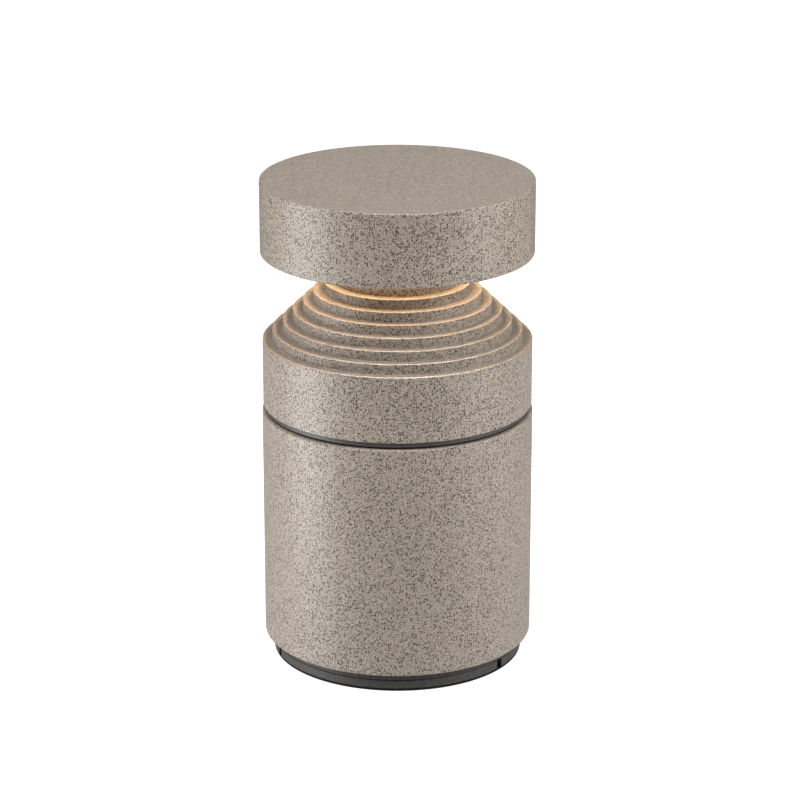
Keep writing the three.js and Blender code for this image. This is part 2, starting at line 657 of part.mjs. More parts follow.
add('stepped_housing', steppedHousing(), stoneCoat);
add('neck_tube', neckTube(), brass);
add('neck_nut_lower', neckNut(INNER_CEILING - GAP - NUT_HEIGHT), brass);
add('neck_nut_upper', neckNut(SINK_HIGH + GAP), brass);
add('hub_spacer', hubSpacer(), castAluminium);
add('cap_shell', capShell(), stoneCoat);
add('cap_underplate', capUnderplate(), stoneCoat);
addScrews('underplate_screw', screwShape(2, 14, 3.5, 2.2), UNDERPLATE_SCREW_R, UNDERPLATE_SCREWS,
  UNDERPLATE_LOW - GAP);
add('heatsink', heatsink(), castAluminium);
addScrews('heatsink_screw', screwShape(2, 16, 3.5, 2.2), SINK_SCREW_R, SINK_SCREWS, SINK_LOW - GAP);
add('led_board', ledBoard(), boardWhite);
add('reflector_ring', reflectorRing(), whitePlastic);
add('diffuser_ring', diffuserRing(), frosted);
add('diffuser_gasket', diffuserGasket(), rubber);
add('lead_plug', leadPlug(), blackPlastic);
add('led_lead', ledLead(), cableSheath);

export default light;
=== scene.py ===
# Garden path light with a stone-effect coating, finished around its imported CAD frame.
# Shapes are written in millimetres around the vertical axis and stored in metres.
# Directions are degrees from the front (-Y) towards +X.
import json
import math

import bmesh
import bpy
from mathutils import Matrix, Quaternion, Vector


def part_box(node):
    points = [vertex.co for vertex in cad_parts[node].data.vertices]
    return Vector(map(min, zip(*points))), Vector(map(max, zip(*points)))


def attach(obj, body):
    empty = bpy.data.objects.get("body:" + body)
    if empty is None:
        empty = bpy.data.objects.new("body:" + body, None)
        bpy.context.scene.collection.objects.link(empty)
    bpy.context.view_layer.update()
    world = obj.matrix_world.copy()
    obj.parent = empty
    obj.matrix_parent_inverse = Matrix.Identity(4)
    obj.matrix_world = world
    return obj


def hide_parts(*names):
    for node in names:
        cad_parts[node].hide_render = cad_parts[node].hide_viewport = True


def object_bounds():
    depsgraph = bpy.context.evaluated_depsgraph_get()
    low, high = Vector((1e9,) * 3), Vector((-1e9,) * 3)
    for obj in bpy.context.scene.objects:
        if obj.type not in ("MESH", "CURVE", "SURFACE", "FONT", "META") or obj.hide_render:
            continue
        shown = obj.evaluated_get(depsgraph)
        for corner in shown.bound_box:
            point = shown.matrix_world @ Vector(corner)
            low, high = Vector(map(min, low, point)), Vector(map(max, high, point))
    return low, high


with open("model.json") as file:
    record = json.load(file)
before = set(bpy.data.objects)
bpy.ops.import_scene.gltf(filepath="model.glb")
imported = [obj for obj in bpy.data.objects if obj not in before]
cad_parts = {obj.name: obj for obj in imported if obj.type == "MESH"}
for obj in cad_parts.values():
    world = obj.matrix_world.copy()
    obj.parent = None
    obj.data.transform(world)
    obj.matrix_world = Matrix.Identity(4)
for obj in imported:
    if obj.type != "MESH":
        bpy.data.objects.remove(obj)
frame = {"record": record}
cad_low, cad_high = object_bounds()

MM = 0.001
FINE = 192       # segments of the large turned pieces
MEDIUM = 96
SMALL = 48
AXIS = 1e-6      # a point closer to the axis than this is on it
CORNER_SHARE = 0.48      # part of an edge that one rounded corner may use up
GUARD = 0.12     # distance from a rounded corner to the point that keeps the flat beside it flat
LEAST_GUARD = 0.02

GAP = 0.3        # between pieces that rest on each other
WALL = 3.0
RING_TOP = 201.0         # top of the head's skirt and first edge of the stepped cone
STEPS = 9
STEP_RISE = 6.05
STEP_RUN = 6.2
M3_HOLE = 1.8            # radii of the clearance holes
M4_HOLE = 2.3
MORE_TURN = 11.0         # degrees that each screw of a set is turned past the one before

BODY_OF = {node: body for body, nodes in frame["record"]["behaviour"]["bodies"].items()
           for node in nodes}


# ------------ outlines
def extent(node):
    """Largest radius, lowest height and highest height of a node, in millimetres."""
    low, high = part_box(node)
    return max(high.x, high.y, -low.x, -low.y) / MM, low.z / MM, high.z / MM


def at(radius, direction, height=0.0):
    angle = math.radians(direction)
    return Vector((radius * math.sin(angle), -radius * math.cos(angle), height))


def around(count, first=0.0):
    return [first + i * 360.0 / count for i in range(count)]


def corner_points(here, before, after, radius, steps):
    """Arc that replaces one corner, with a guard point on each side to keep the flats flat."""
    to_before, to_after = before - here, after - here
    room = CORNER_SHARE * min(to_before.length, to_after.length)
    to_before.normalize()
    to_after.normalize()
    half = to_before.angle(to_after) / 2
    reach = min(radius / math.tan(half), room)
    centre = here + (to_before + to_after).normalized() * (reach / math.cos(half))
    start, end = here + to_before * reach - centre, here + to_after * reach - centre
    sweep = start.angle(end)
    points = []
    guard = min(GUARD, room - reach)
    if guard > LEAST_GUARD:
        points.append(here + to_before * (reach + guard))
    for i in range(steps + 1):
        share = i / steps
        arm = start * math.sin((1 - share) * sweep) + end * math.sin(share * sweep)
        points.append(centre + arm / math.sin(sweep))
    if guard > LEAST_GUARD:
        points.append(here + to_after * (reach + guard))
    return points


def rounded(corners, steps=5):
    """Closed outline from (x, y, radius) corners; a corner with radius 0 stays sharp."""
    points = []
    for i, (x, y, radius) in enumerate(corners):
        here = Vector((x, y))
        if radius <= 0:
            points.append(here)
            continue
        before = Vector(corners[i - 1][:2])
        after = Vector(corners[(i + 1) % len(corners)][:2])
        points += corner_points(here, before, after, radius, steps)
    return points


# ------------ meshes
def linked(obj):
    bpy.context.scene.collection.objects.link(obj)
    return obj


def make_object(name, verts, faces):
    mesh = bpy.data.meshes.new(name)
    mesh.from_pydata([Vector(v) * MM for v in verts], [], faces)
    tidy = bmesh.new()
    tidy.from_mesh(mesh)
    bmesh.ops.recalc_face_normals(tidy, faces=tidy.faces)
    tidy.to_mesh(mesh)
    tidy.free()
    return linked(bpy.data.objects.new(name, mesh))


def turned(outline, segments=FINE, shape=None):
    """Turned solid from a closed (radius, height) outline, which may start and end on the axis.

    shape(radius, height, angle) may change a point's radius, as for a thread or a grip.
    """
    verts, rows = [], []
    for radius, height in outline:
        if radius < AXIS:
            rows.append([len(verts)])
            verts.append((0, 0, height))
            continue
        rows.append(list(range(len(verts), len(verts) + segments)))
        for i in range(segments):
            angle = 2 * math.pi * i / segments
            r = shape(radius, height, angle) if shape else radius
            verts.append((r * math.cos(angle), r * math.sin(angle), height))
    last = len(rows) if outline[0][0] >= AXIS else len(rows) - 1
    faces = []
    for k in range(last):
        a, b = rows[k], rows[(k + 1) % len(rows)]
        for i in range(segments):
            j = (i + 1) % segments
            quad = [a[i % len(a)], a[j % len(a)], b[j % len(b)], b[i % len(b)]]
            face = list(dict.fromkeys(quad))
            if len(face) > 2:
                faces.append(face)
    return make_object("turned", verts, faces)


def band(inner, outer, low, high, edges, steps=5, segments=FINE):
    """Turned ring of rectangular section; edges round its corners, from inner low to inner high."""
    corners = ((inner, low), (outer, low), (outer, high), (inner, high))
    return turned(rounded([(*corner, edge) for corner, edge in zip(corners, edges)], steps), segments)


def prism(outline, low, high):
    """Upright solid from a closed (x, y) outline."""
    count = len(outline)
    verts = [(x, y, low) for x, y in outline] + [(x, y, high) for x, y in outline]
    faces = [list(range(count))[::-1], list(range(count, 2 * count))]
    for i in range(count):
        j = (i + 1) % count
        faces.append([i, j, j + count, i + count])
    return make_object("prism", verts, faces)


def hexagon(across_flats):
    corner = across_flats / math.sqrt(3)
    return [at(corner, direction).xy for direction in around(6)]


def sector(inner, outer, low, high, middle, span, steps=14):
    """Upright piece of a ring, centred on a direction."""
    angles = [middle + span * (i / steps - 0.5) for i in range(steps + 1)]
    outline = [at(outer, a).xy for a in angles] + [at(inner, a).xy for a in reversed(angles)]
    return bevelled(prism(outline, low, high), 0.3)


def cylinder(radius, low, high, place=(0, 0), segments=SMALL, edge=0.0):
    """Round bar along Z at place, with rounded rims if edge is given."""
    if edge:
        bar = band(0, radius, low, high, (0, edge, edge, 0), 3, segments)
    else:
        bar = turned([(0, low), (radius, low), (radius, high), (0, high)], segments)
    return moved(bar, shift(place[0], place[1], 0))


def bars(circle, directions, radius, low, high, edge=0.0):
    """Round bars along Z in the given directions on a circle."""
    return [cylinder(radius, low, high, at(circle, d), edge=edge) for d in directions]


def block(low, high, edge=0.0):
    (x0, y0, z0), (x1, y1, z1) = low, high
    solid = prism([(x0, y0), (x1, y0), (x1, y1), (x0, y1)], z0, z1)
    return bevelled(solid, edge) if edge else solid


def tube(points, radius, sides=24, steps=10):
    """Round lead along a smooth curve through the points, with closed ends."""
    stations = smooth_path([Vector(p) for p in points], steps)
    verts, faces = [], []
    side = Vector((0, 1, 0))
    for i, here in enumerate(stations):
        ahead = stations[min(i + 1, len(stations) - 1)] - stations[max(i - 1, 0)]
        ahead.normalize()
        side = (side - ahead * side.dot(ahead)).normalized()
        other = ahead.cross(side)
        for k in range(sides):
            angle = 2 * math.pi * k / sides
            verts.append(here + side * (radius * math.cos(angle)) + other * (radius * math.sin(angle)))
    for i in range(len(stations) - 1):
        for k in range(sides):
            j = (k + 1) % sides
            faces.append([i * sides + k, i * sides + j, (i + 1) * sides + j, (i + 1) * sides + k])
    faces.append(list(range(sides))[::-1])
    faces.append(list(range(len(verts) - sides, len(verts))))
    return make_object("tube", verts, faces)


def smooth_path(points, steps):
    """Catmull-Rom curve through the points."""
    if len(points) == 2:
        return [points[0].lerp(points[1], i / steps) for i in range(steps + 1)]
    ends = [points[0] * 2 - points[1], *points, points[-1] * 2 - points[-2]]
    path = []
    for a, b, c, d in zip(ends, ends[1:], ends[2:], ends[3:]):
        for i in range(steps):
            t = i / steps
            path.append(0.5 * (
                b * 2 + (c - a) * t + (a * 2 - b * 5 + c * 4 - d) * t ** 2
                + (b * 3 - a - c * 3 + d) * t ** 3
            ))
    return [*path, points[-1]]


def moved(obj, matrix):
    obj.data.transform(matrix)
    return obj


def shift(x, y, z):
    return Matrix.Translation(Vector((x, y, z)) * MM)


def quarter_turn(sign=1):
    """Turn about X that lays an upright piece along Y."""
    return Matrix.Rotation(sign * math.pi / 2, 4, "X")


def turned_to(obj, direction):
    return moved(obj, Matrix.Rotation(math.radians(direction), 4, "Z"))


def bevelled(obj, width, segments=2):
    """Rounds the sharp edges in the mesh itself."""
    rounder = obj.modifiers.new("edges", "BEVEL")
    rounder.width = width * MM
    rounder.segments = segments
    rounder.limit_method = "ANGLE"
    rounder.angle_limit = math.radians(30)
    rounder.use_clamp_overlap = True
    return baked(obj)


def baked(obj):
    """Puts the result of the modifiers into the mesh."""
    bpy.context.view_layer.update()
    graph = bpy.context.evaluated_depsgraph_get()
    mesh = bpy.data.meshes.new_from_object(obj.evaluated_get(graph))
    obj.modifiers.clear()
    old = obj.data
    obj.data = mesh
    bpy.data.meshes.remove(old)
    return obj


def combined(obj, others, operation):
    group = bpy.data.collections.new("operands")
    for other in others:
        group.objects.link(other)
    tool = obj.modifiers.new("combine", "BOOLEAN")
    tool.operation = operation
    tool.operand_type = "COLLECTION"
    tool.collection = group
    tool.solver = "EXACT"
    baked(obj)
    for other in others:
        bpy.data.objects.remove(other)
    bpy.data.collections.remove(group)
    return obj


def joined(obj, *others):
    return combined(obj, others, "UNION")


def cut(obj, *others):
    return combined(obj, others, "DIFFERENCE")


def shared(obj, other):
    return combined(obj, [other], "INTERSECT")


def merged(*objects):
    """One object from several closed shells that only touch."""
    whole = bmesh.new()
    slots = []
    for obj in objects:
        first = len(whole.faces)
        whole.from_mesh(obj.data)
        whole.faces.ensure_lookup_table()
        material = obj.data.materials[0] if obj.data.materials else None
        if material not in slots:
            slots.append(material)
        for face in whole.faces[first:]:
            face.material_index = slots.index(material)
    first_obj = objects[0]
    whole.to_mesh(first_obj.data)
    whole.free()
    first_obj.data.materials.clear()
    for material in slots:
        first_obj.data.materials.append(material)
    for obj in objects[1:]:
        bpy.data.objects.remove(obj)
    return first_obj


def painted(obj, material):
    obj.data.materials.clear()
    obj.data.materials.append(material)
    return obj


def finish(obj, node, material=None, crease=32):
    """Makes obj the visible piece for a CAD node, in the same body, painted with the given material if one
    is given.
    """
    obj.name = node + "_fine"
    obj.data.name = obj.name
    if material:
        painted(obj, material)
    obj.data.shade_smooth()
    obj.data.set_sharp_from_angle(angle=math.radians(crease))
    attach(obj, BODY_OF[node])
    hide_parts(node)
    return obj


# ------------ material nodes
def add_node(tree, kind, inputs=None, **settings):
    item = tree.nodes.new(kind)
    for key, value in settings.items():
        setattr(item, key, value)
    for key, value in (inputs or {}).items():
        if isinstance(value, bpy.types.NodeSocket):
            tree.links.new(value, item.inputs[key])
        else:
            item.inputs[key].default_value = value
    return item


class Finish:
    """A Principled material with helpers for patterns in the piece's own coordinates.

    roughness is the plain value, for exporters that can't keep the pattern linked over it.
    """

    def __init__(self, name, roughness, metallic=0.0, specular=0.5):
        self.material = bpy.data.materials.new(name)
        self.material.use_nodes = True
        self.tree = self.material.node_tree
        self.shader = self.tree.nodes["Principled BSDF"]
        self.shader.inputs["Roughness"].default_value = roughness
        self.shader.inputs["Metallic"].default_value = metallic
        self.shader.inputs["Specular IOR Level"].default_value = specular
        coordinates = add_node(self.tree, "ShaderNodeTexCoord")
        self.place = coordinates.outputs["Object"]
        self.facing = coordinates.outputs["Normal"]

    def node(self, kind, inputs=None, **settings):
        return add_node(self.tree, kind, inputs, **settings)

    def noise(self, size_mm, detail=2.0, roughness=0.5, place=None):
        """Noise whose features are about size_mm across."""
        return self.node("ShaderNodeTexNoise", {
            "Vector": place or self.place, "Scale": 1.0 / (size_mm * MM),
            "Detail": detail, "Roughness": roughness,
        }).outputs["Fac"]

    def mottle(self, size_mm, detail=2.0, roughness=0.5, low=0.0, high=1.0):
        """Noise spread over its useful range, from low to high."""
        return self.ramp(self.noise(size_mm, detail, roughness), 0.3, 0.7, low, high)

    def specks(self, size_mm, share, radius):
        """Round grains in a share of randomly placed cells; radius is a part of the cell size."""
        cell = self.node("ShaderNodeTexVoronoi", {
            "Vector": self.place, "Scale": 1.0 / (size_mm * MM),
        })
        chance = self.node("ShaderNodeSeparateXYZ", {0: cell.outputs["Color"]}).outputs["X"]
        chosen = self.math("LESS_THAN", chance, share)
        grain = self.ramp(cell.outputs["Distance"], radius * 1.15, radius * 0.8)
        return self.math("MULTIPLY", chosen, grain)

    def ramp(self, value, low, high, to_low=0.0, to_high=1.0):
        return self.node("ShaderNodeMapRange", {
            "Value": value, "From Min": low, "From Max": high, "To Min": to_low, "To Max": to_high,
        }, interpolation_type="SMOOTHSTEP").outputs["Result"]

    def math(self, operation, a, b):
        return self.node("ShaderNodeMath", {0: a, 1: b}, operation=operation).outputs[0]

    def blend(self, share, a, b):
        item = self.node("ShaderNodeMix", data_type="RGBA", blend_type="MIX")
        for socket, value in ((item.inputs[0], share), (item.inputs[6], a), (item.inputs[7], b)):
            if isinstance(value, bpy.types.NodeSocket):
                self.tree.links.new(value, socket)
            else:
                socket.default_value = value
        return item.outputs[2]

    def stretched(self, x, y, z):
        return self.node("ShaderNodeMapping", {"Vector": self.place, "Scale": (x, y, z)}).outputs[0]

    def colour(self, socket):
        self.tree.links.new(socket, self.shader.inputs["Base Color"])

    def roughness(self, socket):
        self.tree.links.new(socket, self.shader.inputs["Roughness"])

    def bump(self, height, depth_mm):
        item = self.node("ShaderNodeBump", {"Height": height, "Distance": depth_mm * MM, "Strength": 1.0})
        self.tree.links.new(item.outputs[0], self.shader.inputs["Normal"])


def grey(value):
    return (value, value, value, 1.0)


# ------------ materials
STONE_LIGHT = (0.68, 0.580, 0.480, 1.0)
STONE_DARK = (0.29, 0.242, 0.193, 1.0)
STONE_BROWN = (0.07, 0.055, 0.045, 1.0)
STONE_BLACK = (0.030, 0.017, 0.010, 1.0)
STONE_WHITE = (0.80, 0.745, 0.685, 1.0)
SMOOTH_TOP = 0.3         # strength of the grains and lumps on a flat top, against 1 on a side
ANTHRACITE_LOW = (0.052, 0.051, 0.0495, 1)
ANTHRACITE_HIGH = (0.080, 0.0785, 0.076, 1)
FROST_LOW = (0.70, 0.62, 0.48, 1.0)
FROST_HIGH = (0.90, 0.82, 0.66, 1.0)
# painted shade: a dark colour for the risers of the steps, standing in for the shade they lie in under the
# cap and the steps above
RISER_PAINTED_SHADE = (0.10, 0.095, 0.09, 1.0)
RISER_SHADE = 0.28       # share of the painted shade colour in the risers of the steps
RISER_GLOSS = 0.25       # coat weight of the risers, against 1 elsewhere


def between_skirt_and_cap(coat):
    """1 at the heights of the steps, 0 on the skirt below and the cap above."""
    height = coat.math("DIVIDE", coat.node("ShaderNodeSeparateXYZ", {0: coat.place}).outputs["Z"], MM)
    above = coat.ramp(height, RING_TOP + 0.3, RING_TOP + 0.7)
    cap_low = extent("cap_shell")[1]
    below = coat.ramp(height, cap_low - 0.5, cap_low - 0.1, 1.0, 0.0)
    return coat.math("MULTIPLY", above, below)


def stone_coat():
    """Greige coating with dense fine dark grains; flat tops are smoother, and the risers are darkened with
    painted shade and have less coat.
    """
    coat = Finish("stone_coat", 0.5)
    coat.shader.inputs["Coat Weight"].default_value = 1.0
    coat.shader.inputs["Coat Roughness"].default_value = 0.42
    coat.shader.inputs["Coat IOR"].default_value = 1.8
    facing_up = coat.node("ShaderNodeSeparateXYZ", {0: coat.facing}).outputs["Z"]
    level = coat.math("ABSOLUTE", facing_up, 0.0)
    rough_side = coat.ramp(level, 0.6, 0.95, 1.0, SMOOTH_TOP)

    grain = coat.ramp(coat.noise(0.6, roughness=0.6), 0.38, 0.62)
    base = coat.blend(grain, STONE_DARK, STONE_LIGHT)
    clouds = coat.ramp(coat.noise(2.2, 3.0, 0.6), 0.35, 0.65)
    clouds = coat.math("MULTIPLY", clouds, coat.ramp(rough_side, SMOOTH_TOP, 1.0, 0.8, 0.15))
    base = coat.blend(clouds, base, STONE_DARK)
    pale = coat.ramp(coat.noise(0.75, 1.0, place=coat.stretched(1.0, 1.0, 1.1)), 0.60, 0.68)
    base = coat.blend(coat.math("MULTIPLY", pale, 0.7), base, STONE_WHITE)
    brown = coat.ramp(coat.noise(0.85, 1.0), 0.40, 0.37)
    base = coat.blend(coat.math("MULTIPLY", brown, rough_side), base, STONE_BROWN)
    black = coat.specks(1.35, share=0.42, radius=0.40)
    base = coat.blend(coat.math("MULTIPLY", black, rough_side), base, STONE_BLACK)

    riser = coat.math("MULTIPLY", between_skirt_and_cap(coat), coat.ramp(level, 0.3, 0.7, 1.0, 0.0))
    # painted shade: the risers are mixed towards a dark colour that stands in for shade from the cap and
    # the steps; their coat is also thinner
    coat.colour(coat.blend(coat.math("MULTIPLY", riser, RISER_SHADE), base, RISER_PAINTED_SHADE))
    gloss = coat.ramp(riser, 0.0, 1.0, 1.0, RISER_GLOSS)
    coat.tree.links.new(gloss, coat.shader.inputs["Coat Weight"])
    coat.roughness(coat.ramp(grain, 0.0, 1.0, 0.58, 0.46))
    lumps = coat.math("ADD", coat.noise(0.9, roughness=0.6), coat.math("MULTIPLY", brown, -0.35))
    coat.bump(coat.math("MULTIPLY", lumps, rough_side), 0.30)
    return coat.material


def dark_coat(name, specular, low, high):
    """Anthracite powder coat with a fine orange-peel surface, low to high in roughness."""
    coat = Finish(name, 0.5, specular=specular)
    coat.colour(coat.blend(coat.mottle(2.5, 3.0, 0.6), ANTHRACITE_LOW, ANTHRACITE_HIGH))
    coat.roughness(coat.mottle(0.8, low=low, high=high))
    coat.bump(coat.noise(0.7), 0.10)
    return coat.material


def rubber(name, dark, light):
    """Matt rubber with a faint bloom."""
    coat = Finish(name, 0.75, specular=0.3)
    coat.colour(coat.blend(coat.mottle(3.0, 3.0, 0.6), dark, light))
    coat.roughness(coat.mottle(0.6, low=0.62, high=0.85))
    coat.bump(coat.noise(0.5), 0.05)
    return coat.material


def cast_aluminium():
    """Bare casting, lightly blasted."""
    coat = Finish("cast_aluminium", 0.45, metallic=1.0)
    coat.colour(coat.blend(coat.mottle(4.0, 4.0, 0.6), (0.50, 0.51, 0.53, 1), (0.68, 0.69, 0.71, 1)))
    coat.roughness(coat.mottle(1.2, 3.0, low=0.36, high=0.56))
    coat.bump(coat.noise(0.5), 0.06)
    return coat.material


def turned_metal(name, dark, light, low, high):
    """Machined metal: fine rings across the axis and a little dulling."""
    coat = Finish(name, 0.3, metallic=1.0)
    marks = coat.noise(0.4, 2.0, 0.6, coat.stretched(0.05, 0.05, 3.0))
    patina = coat.ramp(coat.noise(6.0, 4.0, 0.6), 0.35, 0.7)
    coat.colour(coat.blend(patina, dark, light))
    coat.roughness(coat.ramp(marks, 0.3, 0.7, low, high))
    coat.bump(marks, 0.02)
    return coat.material


def plastic(name, dark, light, low, high):
    """Moulded plastic with a faint spark-eroded texture and flow marks."""
    coat = Finish(name, 0.45, specular=0.45)
    coat.colour(coat.blend(coat.mottle(7.0, 3.0, 0.6), dark, light))
    coat.roughness(coat.mottle(1.0, 3.0, low=low, high=high))
    coat.bump(coat.noise(0.4), 0.03)
    return coat.material


def radius_of(coat):
    """Distance from the vertical axis, in millimetres."""
    flat = coat.node("ShaderNodeVectorMath", {0: coat.place, 1: (1.0, 1.0, 0.0)},
                     operation="MULTIPLY").outputs[0]
    return coat.math("DIVIDE", coat.node("ShaderNodeVectorMath", {0: flat},
                                         operation="LENGTH").outputs["Value"], MM)


def led_board_mask():
    """White solder mask with tinned ring tracks under it."""
    coat = Finish("led_board", 0.3)
    radius = radius_of(coat)
    first_track, track_gap = 29.2, 3.8
    track = coat.math("PINGPONG", coat.math("SUBTRACT", radius, first_track), track_gap)
    edge = coat.ramp(track, 0.35, 0.55)
    copper = coat.blend(coat.mottle(2.0), (0.70, 0.66, 0.55, 1), (0.76, 0.72, 0.62, 1))
    mask = coat.blend(coat.mottle(3.0), (0.80, 0.79, 0.75, 1), (0.86, 0.85, 0.81, 1))
    coat.colour(coat.blend(edge, copper, mask))
    coat.roughness(coat.mottle(1.0, low=0.25, high=0.40))
    coat.bump(edge, 0.03)
    return coat.material


def glow(name, inner, outer, inner_radius, outer_radius, strength):
    """Lit plastic whose light changes from the inner colour to the outer one across its width."""
    coat = Finish(name, 0.4, specular=0.4)
    share = coat.ramp(radius_of(coat), inner_radius, outer_radius)
    frost = coat.mottle(0.8, low=0.92, high=1.0)
    lit = coat.blend(frost, grey(0.0), coat.blend(share, inner, outer))
    coat.colour(coat.blend(frost, FROST_LOW, FROST_HIGH))
    coat.tree.links.new(lit, coat.shader.inputs["Emission Color"])
    coat.shader.inputs["Emission Strength"].default_value = strength
    coat.roughness(coat.ramp(frost, 0.92, 1.0, 0.35, 0.5))
    coat.bump(coat.noise(0.6), 0.05)
    return coat.material


STONE = stone_coat()
DARK = dark_coat("dark_coat", specular=0.6, low=0.42, high=0.60)
SEAM_DARK = dark_coat("seam_coat", specular=1.0, low=0.34, high=0.50)
RUBBER = rubber("rubber", (0.008, 0.008, 0.0085, 1), (0.018, 0.018, 0.019, 1))
SILICONE = rubber("silicone", (0.38, 0.37, 0.35, 1), (0.50, 0.49, 0.47, 1))
ALUMINIUM = cast_aluminium()
STEEL = turned_metal("steel", (0.48, 0.485, 0.49, 1), (0.62, 0.625, 0.63, 1), 0.22, 0.40)
BRASS = turned_metal("brass", (0.52, 0.38, 0.17, 1), (0.70, 0.54, 0.27, 1), 0.22, 0.42)
BLACK = plastic("black_plastic", (0.014, 0.014, 0.016, 1), (0.026, 0.026, 0.028, 1), 0.38, 0.58)
WHITE = plastic("white_plastic", (0.68, 0.66, 0.62, 1), (0.78, 0.76, 0.72, 1), 0.36, 0.52)
BOARD = led_board_mask()
SHEATH = rubber("cable_sheath", (0.018, 0.018, 0.020, 1), (0.032, 0.032, 0.034, 1))

GLOW_STRENGTH = 12.0
LED_GLOW_STRENGTH = 6.0
WINDOW = glow("diffuser", (1.0, 0.80, 0.52, 1), (0.20, 0.10, 0.035, 1), 29.0, 34.0, GLOW_STRENGTH)
PHOSPHOR = glow("led_phosphor", (1.0, 0.72, 0.30, 1), (1.0, 0.70, 0.28, 1), 31.0, 35.0,
                LED_GLOW_STRENGTH)


# ------------ threads and screws
def threaded(radius, low, high, pitch, depth, segments=SMALL, bore=0.0):
    """Bar or tube with a helical thread outside and a chamfer at each end."""
    rows = max(4, int((high - low) / pitch * 6))
    chamfer = depth * 1.2

    def thread(r, z, angle):
        if r < radius - depth * 0.5:
            return r
        turn = (z / pitch - angle / (2 * math.pi)) % 1.0
        groove = depth * abs(2 * turn - 1)
        end = max(0.0, chamfer - min(z - low, high - z))
        return radius - max(groove, min(end, depth))

    outline = [(radius, low + (high - low) * i / rows) for i in range(rows + 1)]
    inner = [(bore, high), (bore, low)] if bore else [(0, high)]
    outline = [*outline, *inner] if bore else [(0, low), *outline, *inner]
    return turned(outline, segments, thread)


def socket_screw(shank, length, head, height):
    """Socket-head screw along +Z: its seat at 0, its head below and its threaded shank above."""
    def knurl(r, z, angle):
        depth = 0.09 if r > head - 0.01 else 0
        return r - depth * (0.5 + 0.5 * math.cos(24 * angle))

    cap = turned(rounded([
        (0, -height, 0), (head - 0.25, -height, 0.25), (head, -height + 0.5, 0.1),
        (head, -0.35, 0.1), (head - 0.2, 0, 0.1), (0, 0, 0),
    ], 2), MEDIUM, knurl)
    recess = prism(hexagon(head * 0.98), -height - 1, -height * 0.42)
    return merged(cut(cap, recess), threaded(shank, 0, length, shank * 0.35, shank * 0.12))


def m3_screw(length):
    return socket_screw(shank=1.5, length=length, head=2.7, height=1.9)


def m4_screw(length, head_height=2.4):
    return socket_screw(shank=2.0, length=length, head=3.5, height=head_height)


def place_screws(node, shape, circle, directions, seat, up=True):
    """Copies of a screw on a circle, named node_1, node_2 and so on, each turned a bit more."""
    for i, direction in enumerate(directions):
        turn = Matrix.Rotation(math.radians(direction + MORE_TURN * i), 4, "Z")
        flip = Matrix.Identity(4) if up else Matrix.Rotation(math.pi, 4, "X")
        place = shift(*at(circle, direction, seat))
        screw = linked(shape.copy())
        screw.data = shape.data.copy()
        finish(moved(screw, place @ turn @ flip), f"{node}_{i + 1}", STEEL)
    bpy.data.objects.remove(shape)


def chamfered_drill(radius, low, high, place, rim):
    """Drill for one hole with a chamfer, rim wide, at its lower mouth."""
    outline = [(0, low - 1), (radius + rim + 1, low - 1), (radius, low + rim), (radius, high), (0, high)]
    return moved(turned(outline, SMALL), shift(place[0], place[1], 0))


# ------------ bayonets
LUG_SPAN = 24.0          # degrees that one lug covers
STOP_PLAY = 1.5          # degrees left between a lug and its stop
STOP_SPAN = 2.5
TWIST = 30.0             # degrees from locked to free
BASE_LUGS = around(3, 20)
HEAD_LUGS = around(3, 0)
HEAD_LUG_TOP = 167.4


def lug(inner, outer, low, high, direction):
    return sector(inner, outer, low, high, direction, LUG_SPAN)


def stops(inner, outer, low, high, direction):
    locked = direction - LUG_SPAN / 2 - STOP_PLAY - STOP_SPAN / 2
    free = direction + LUG_SPAN / 2 + TWIST + STOP_PLAY + STOP_SPAN / 2
    return [sector(inner, outer, low, high, d, STOP_SPAN, 2) for d in (locked, free)]


# ------------ ground base
ANCHOR_R = 42.0
ANCHOR_HOLE = 4.0
SLOT_DIRECTIONS = (-70, 54, 172)
GLAND_BORE = 4.6


def base_gasket():
    outer, low, high = extent("base_gasket")
    inner = 58.0
    groove = high - (high - low) / 4
    outline = [(inner, low, 0.3), (outer, low, 0.4), (outer, high, 0.3), (inner + 6, high, 0),
               (inner + 5, groove, 0), (inner + 3, groove, 0), (inner + 2, high, 0),
               (inner, high, 0.3)]
    finish(turned(rounded(outline)), "base_gasket", RUBBER)


def ground_plate():
    outer, low, top = extent("ground_plate")
    rim_top, floor_top = 7.0, 5.0
    collar_out, collar_in, boss = 64.0, 60.5, 10.3
    lug_low = 10.9
    plate = turned(rounded([
        (boss, low, 0.4), (outer, low, 0.4), (outer, rim_top, 0.6), (collar_out, rim_top, 0.5),
        (collar_out, top, 0.4), (collar_in, top, 0.4), (collar_in, floor_top, 1.0),
        (boss, floor_top, 0.4),
    ]))
    lugs = [lug(collar_out - 1, collar_out + 4, lug_low, top, d) for d in BASE_LUGS]
    ends = [s for d in BASE_LUGS
            for s in stops(collar_out - 1, collar_out + 5.3, rim_top - 1, lug_low - 0.4, d)]
    plate = joined(plate, *lugs, *ends)
    slots = [rim_slot(outer, low - 1, rim_top + 1, d) for d in SLOT_DIRECTIONS]
    anchors = [chamfered_drill(ANCHOR_HOLE, low, rim_top + 1, at(ANCHOR_R, d), 0.5)
               for d in around(3, 60)]
    finish(cut(plate, *slots, *anchors), "ground_plate", DARK)


def rim_slot(rim, low, high, direction):
    """Cutter for a slot with a round end, open at the rim."""
    width, depth, facets = 4.6, 8.0, 16
    end = [at(width / 2, 90 + 180 * i / facets).xy for i in range(facets + 1)]
    tip = [Vector((x, y - rim + depth - width / 2)) for x, y in end]
    mouth = [Vector((-width / 2, -rim - 1)), Vector((width / 2, -rim - 1))]
    return turned_to(prism([*mouth, *tip], low, high), direction)


